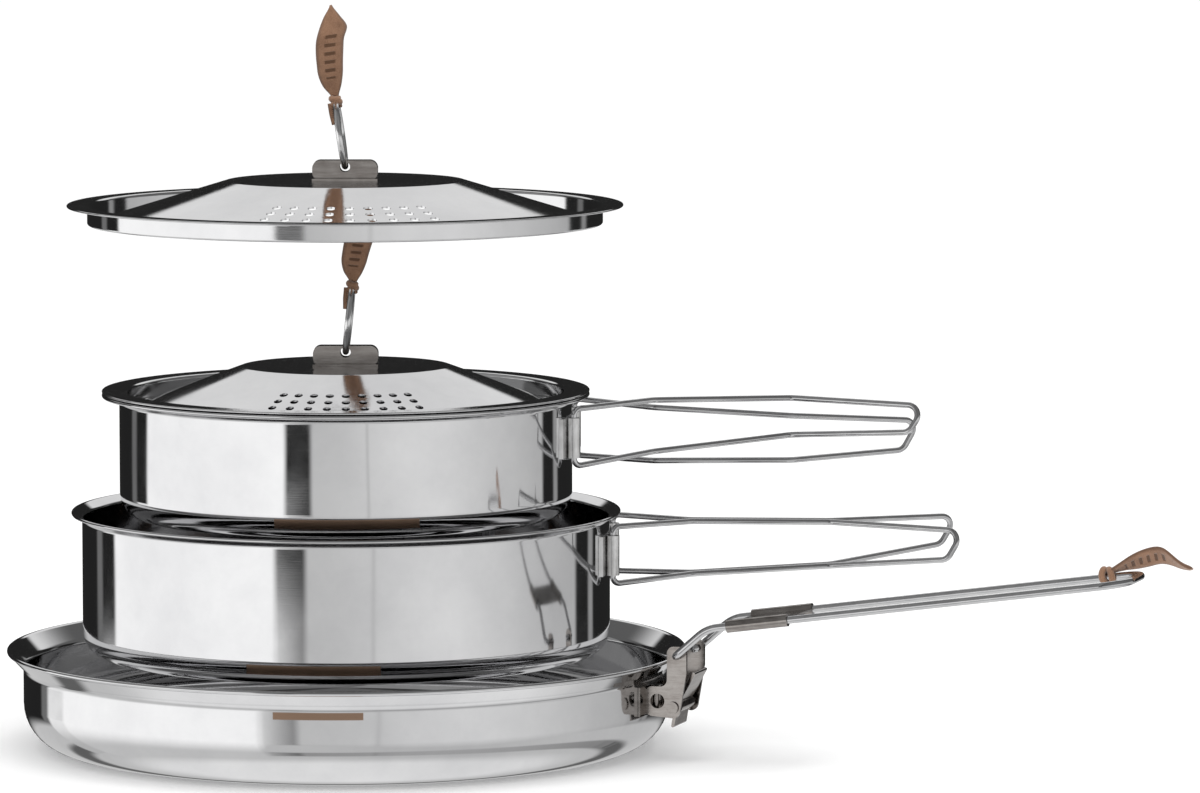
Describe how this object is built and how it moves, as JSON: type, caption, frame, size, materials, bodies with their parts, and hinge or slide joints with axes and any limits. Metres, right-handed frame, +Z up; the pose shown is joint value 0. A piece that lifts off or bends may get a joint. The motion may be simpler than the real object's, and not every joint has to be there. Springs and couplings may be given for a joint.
{
  "type": "camping cook pot set",
  "caption": "Stainless camping cook set: frying pan, nesting pots with folding wire handles, strainer lids with ring pulls and leather tags.",
  "frame": {"origin": "middle of the frying pan's flat bottom, on the surface it stands on", "axes": "+Z up along the common axis of the vessels; +X towards the pots' handles; -Y towards the side with the strainer holes"},
  "size_m": [0.4347, 0.25, 0.2731],
  "materials": {
    "steel_polished": "mirror polished stainless sheet",
    "steel_satin": "satin stamped stainless sheet",
    "steel_wire": "satin drawn stainless wire",
    "leather": "brown suede"
  },
  "bodies": {
    "pan": {"frying_pan": "steel_polished", "pan_bracket": "steel_satin", "pan_latch_pin": "steel_satin"},
    "pan_handle": {"pan_handle_wire": "steel_wire", "pan_handle_saddle": "steel_satin", "pan_tag": "leather"},
    "pan_latch": {"pan_latch_lever": "steel_satin"},
    "large_pot": {"large_pot": "steel_polished", "large_pot_bracket": "steel_satin"},
    "large_loop_near": {"large_pot_loop_near": "steel_wire"},
    "large_loop_far": {"large_pot_loop_far": "steel_wire"},
    "small_pot": {"small_pot": "steel_polished", "small_pot_bracket": "steel_satin"},
    "small_loop_near": {"small_pot_loop_near": "steel_wire"},
    "small_loop_far": {"small_pot_loop_far": "steel_wire"},
    "small_lid": {"small_lid": "steel_polished", "small_lid_bracket": "steel_satin"},
    "small_lid_ring": {"small_lid_ring": "steel_wire", "small_lid_tag": "leather"},
    "large_lid": {"large_lid": "steel_polished", "large_lid_bracket": "steel_satin"},
    "large_lid_ring": {"large_lid_ring": "steel_wire", "large_lid_tag": "leather"}
  },
  "joints": [
    {"name": "large_pot_lift", "type": "slide", "parent": "pan", "child": "large_pot", "axis": [0, 0, 1], "range_m": [0, 0.08]},
    {"name": "small_pot_lift", "type": "slide", "parent": "large_pot", "child": "small_pot", "axis": [0, 0, 1], "range_m": [0, 0.08]},
    {"name": "small_lid_lift", "type": "slide", "parent": "small_pot", "child": "small_lid", "axis": [0, 0, 1], "range_m": [0, 0.05]},
    {"name": "large_lid_lift", "type": "slide", "parent": "small_lid", "child": "large_lid", "axis": [0, 0, 1], "range_m": [0, 0.08]},
    {"name": "pan_handle_fold", "type": "hinge", "parent": "pan", "child": "pan_handle", "pos_m": [0.12506, -0.04064, 0.0395], "axis": [-0.309, -0.9511, 0], "range_deg": [0, 85]},
    {"name": "pan_latch_swing", "type": "hinge", "parent": "pan", "child": "pan_latch", "pos_m": [0.12326, -0.04005, 0.0205], "axis": [0.309, 0.9511, 0], "range_deg": [0, 18]},
    {"name": "large_loop_near_fold", "type": "hinge", "parent": "large_pot", "child": "large_loop_near", "pos_m": [0.09813, -0.02, 0.0723], "axis": [0, 0, -1], "range_deg": [0, 130]},
    {"name": "large_loop_far_fold", "type": "hinge", "parent": "large_pot", "child": "large_loop_far", "pos_m": [0.09813, 0.02, 0.0723], "axis": [0, 0, 1], "range_deg": [0, 130]},
    {"name": "small_loop_near_fold", "type": "hinge", "parent": "small_pot", "child": "small_loop_near", "pos_m": [0.0839, -0.02, 0.1155], "axis": [0, 0, -1], "range_deg": [0, 125]},
    {"name": "small_loop_far_fold", "type": "hinge", "parent": "small_pot", "child": "small_loop_far", "pos_m": [0.0839, 0.02, 0.1155], "axis": [0, 0, 1], "range_deg": [0, 125]},
    {"name": "small_ring_swing", "type": "hinge", "parent": "small_lid", "child": "small_lid_ring", "pos_m": [0, 0, 0.14525], "axis": [0, 1, 0], "range_deg": [-80, 75]},
    {"name": "large_ring_swing", "type": "hinge", "parent": "large_lid", "child": "large_lid_ring", "pos_m": [0, 0, 0.21345], "axis": [0, 1, 0], "range_deg": [-70, 80]}
  ]
}
